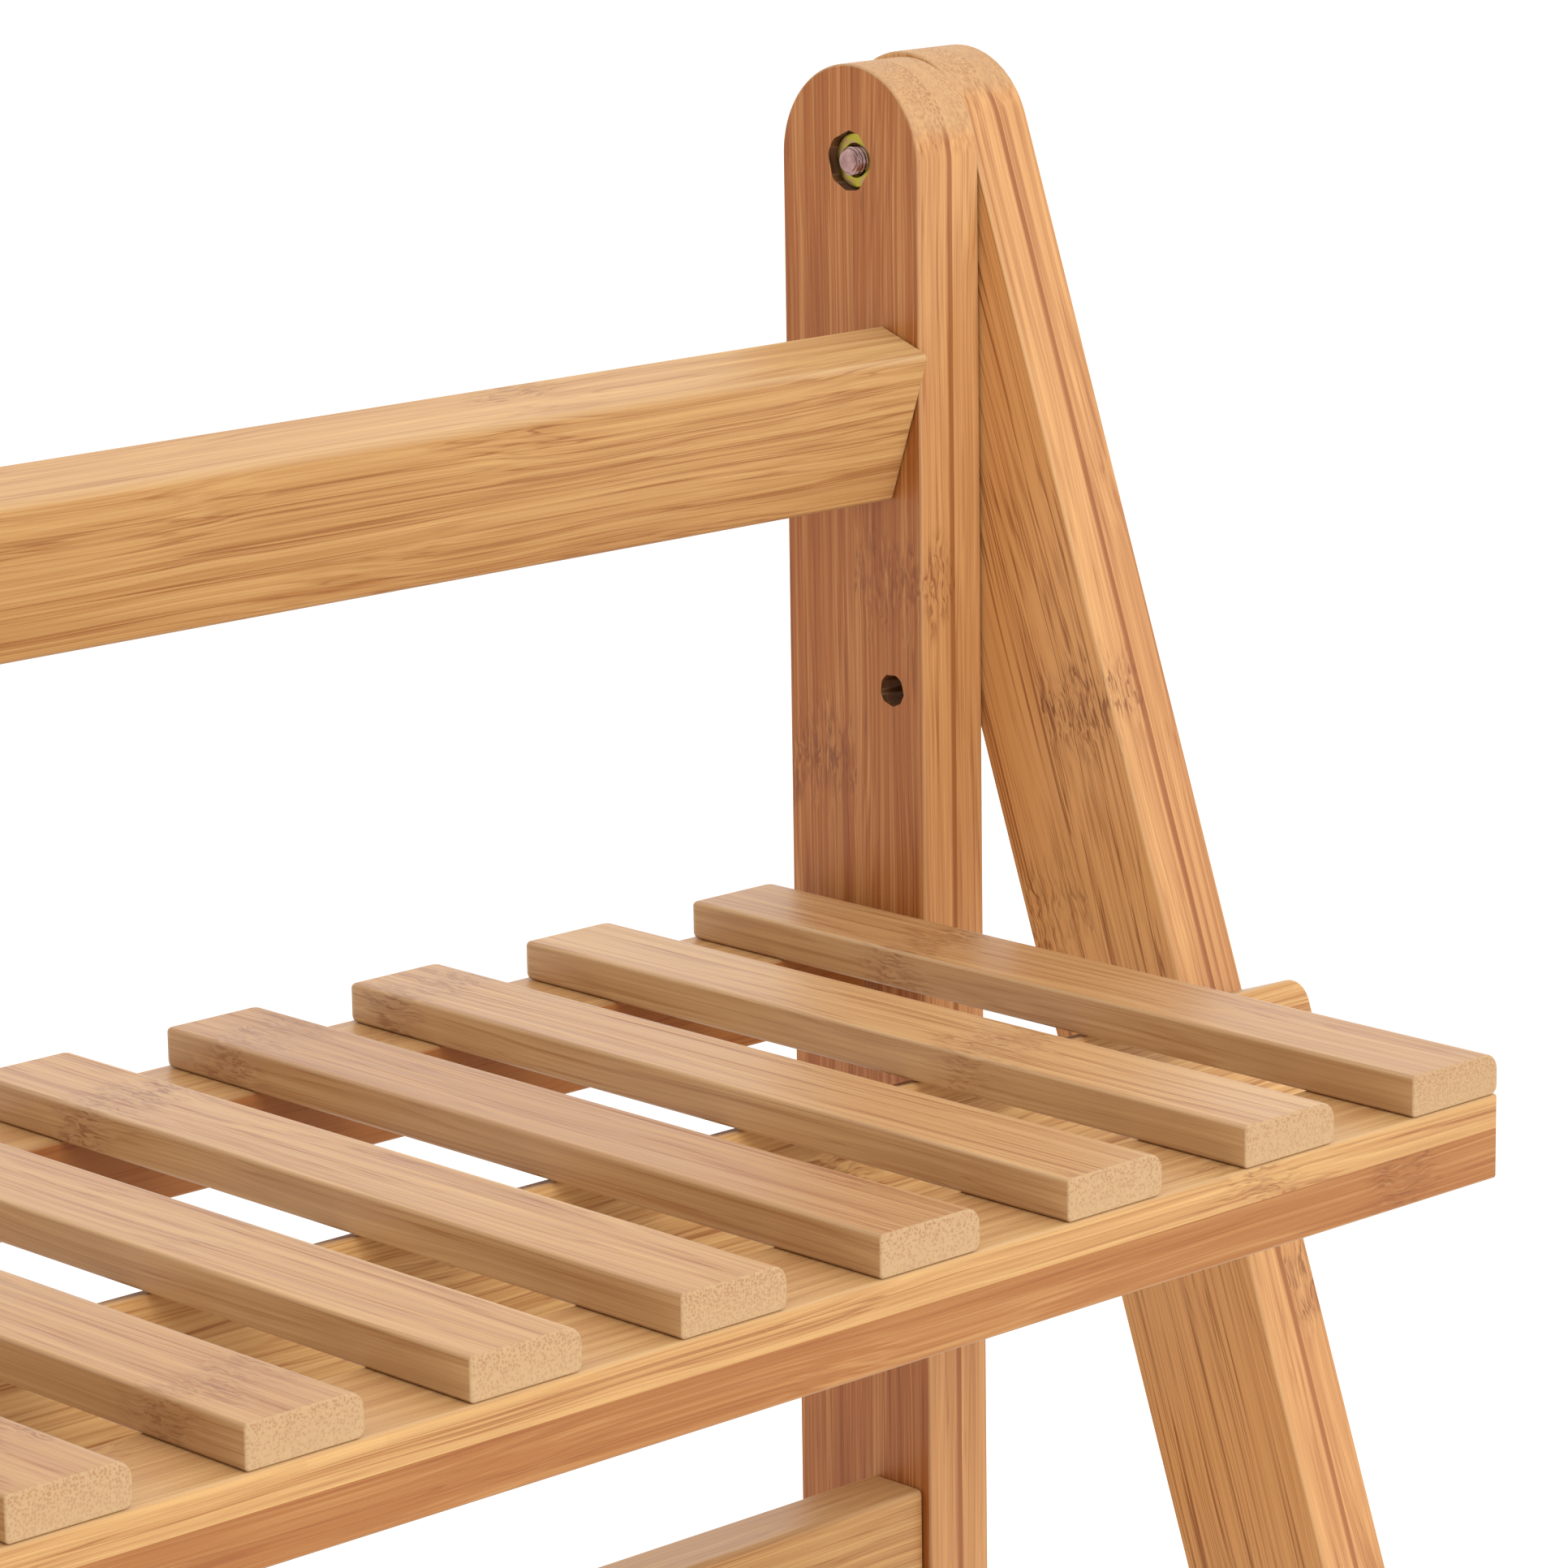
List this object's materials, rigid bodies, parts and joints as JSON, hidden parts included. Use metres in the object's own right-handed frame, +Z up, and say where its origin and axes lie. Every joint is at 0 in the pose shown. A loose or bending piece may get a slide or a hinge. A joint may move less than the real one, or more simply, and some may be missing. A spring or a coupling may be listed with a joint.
{
  "type": "folding slatted bench",
  "caption": "Folding bamboo bench: slatted shelves and guard rails between round-topped posts, with slanted front legs on bolts that close against the posts.",
  "frame": {"origin": "on the floor, in the middle of the bench's length and depth", "axes": "+X along the length to the right as seen from the front, front towards -Y, +Z up"},
  "size_m": [0.672, 0.2369, 0.5402],
  "materials": {
    "bamboo_upright": "satin",
    "bamboo_rail": "satin",
    "bamboo_slat": "satin",
    "zinc_steel": "bright zinc plate",
    "yellow_zinc": "yellow zinc plate",
    "nylon": "matte"
  },
  "bodies": {
    "rear_frame": {"post_left": "bamboo_upright", "pivot_bolt_left": "zinc_steel", "pivot_washer_left": "nylon", "pivot_nut_left": "yellow_zinc", "post_right": "bamboo_upright", "pivot_bolt_right": "zinc_steel", "pivot_washer_right": "nylon", "pivot_nut_right": "yellow_zinc"},
    "front_frame": {"leg_left": "bamboo_upright", "leg_right": "bamboo_upright", "cross_bar_upper": "bamboo_rail", "cross_bar_screw_upper_left": "zinc_steel", "cross_bar_screw_upper_right": "zinc_steel", "cross_bar_lower": "bamboo_rail", "cross_bar_screw_lower_left": "zinc_steel", "cross_bar_screw_lower_right": "zinc_steel"},
    "upper_shelf": {"upper_shelf_rear_rail": "bamboo_rail", "upper_shelf_front_rail": "bamboo_rail", "upper_slat_01": "bamboo_slat", "upper_slat_02": "bamboo_slat", "upper_slat_03": "bamboo_slat", "upper_slat_04": "bamboo_slat", "upper_slat_05": "bamboo_slat", "upper_slat_06": "bamboo_slat", "upper_slat_07": "bamboo_slat", "upper_slat_08": "bamboo_slat", "upper_slat_09": "bamboo_slat", "upper_slat_10": "bamboo_slat", "upper_slat_11": "bamboo_slat", "upper_slat_12": "bamboo_slat", "upper_slat_13": "bamboo_slat", "upper_shelf_pin_left": "zinc_steel", "upper_shelf_spacer_left": "nylon", "upper_shelf_pin_right": "zinc_steel", "upper_shelf_spacer_right": "nylon"},
    "lower_shelf": {"lower_shelf_rear_rail": "bamboo_rail", "lower_shelf_front_rail": "bamboo_rail", "lower_slat_01": "bamboo_slat", "lower_slat_02": "bamboo_slat", "lower_slat_03": "bamboo_slat", "lower_slat_04": "bamboo_slat", "lower_slat_05": "bamboo_slat", "lower_slat_06": "bamboo_slat", "lower_slat_07": "bamboo_slat", "lower_slat_08": "bamboo_slat", "lower_slat_09": "bamboo_slat", "lower_slat_10": "bamboo_slat", "lower_slat_11": "bamboo_slat", "lower_slat_12": "bamboo_slat", "lower_slat_13": "bamboo_slat", "lower_shelf_pin_left": "zinc_steel", "lower_shelf_spacer_left": "nylon", "lower_shelf_pin_right": "zinc_steel", "lower_shelf_spacer_right": "nylon"},
    "upper_guard_rail": {"guard_rail_upper": "bamboo_rail", "guard_rail_screw_upper_left": "zinc_steel", "guard_rail_screw_upper_right": "zinc_steel"},
    "lower_guard_rail": {"guard_rail_lower": "bamboo_rail", "guard_rail_screw_lower_left": "zinc_steel", "guard_rail_screw_lower_right": "zinc_steel"}
  },
  "joints": [
    {"name": "front_frame_fold", "type": "hinge", "parent": "rear_frame", "child": "front_frame", "pos_m": [0, 0.0975, 0.5193], "axis": [1, 0, 0], "range_deg": [0, 18.3]},
    {"name": "upper_shelf_fold", "type": "hinge", "parent": "rear_frame", "child": "upper_shelf", "pos_m": [0, 0.1035, 0.34795], "axis": [-1, 0, 0], "range_deg": [0, 66]},
    {"name": "lower_shelf_fold", "type": "hinge", "parent": "rear_frame", "child": "lower_shelf", "pos_m": [0, 0.1035, 0.09845], "axis": [-1, 0, 0], "range_deg": [0, 66]},
    {"name": "upper_guard_rail_turn", "type": "hinge", "parent": "rear_frame", "child": "upper_guard_rail", "pos_m": [0, 0.087, 0.4679], "axis": [1, 0, 0], "range_deg": [-19.5, 0]},
    {"name": "lower_guard_rail_turn", "type": "hinge", "parent": "rear_frame", "child": "lower_guard_rail", "pos_m": [0, 0.087, 0.2184], "axis": [1, 0, 0], "range_deg": [0, 19.5]}
  ]
}
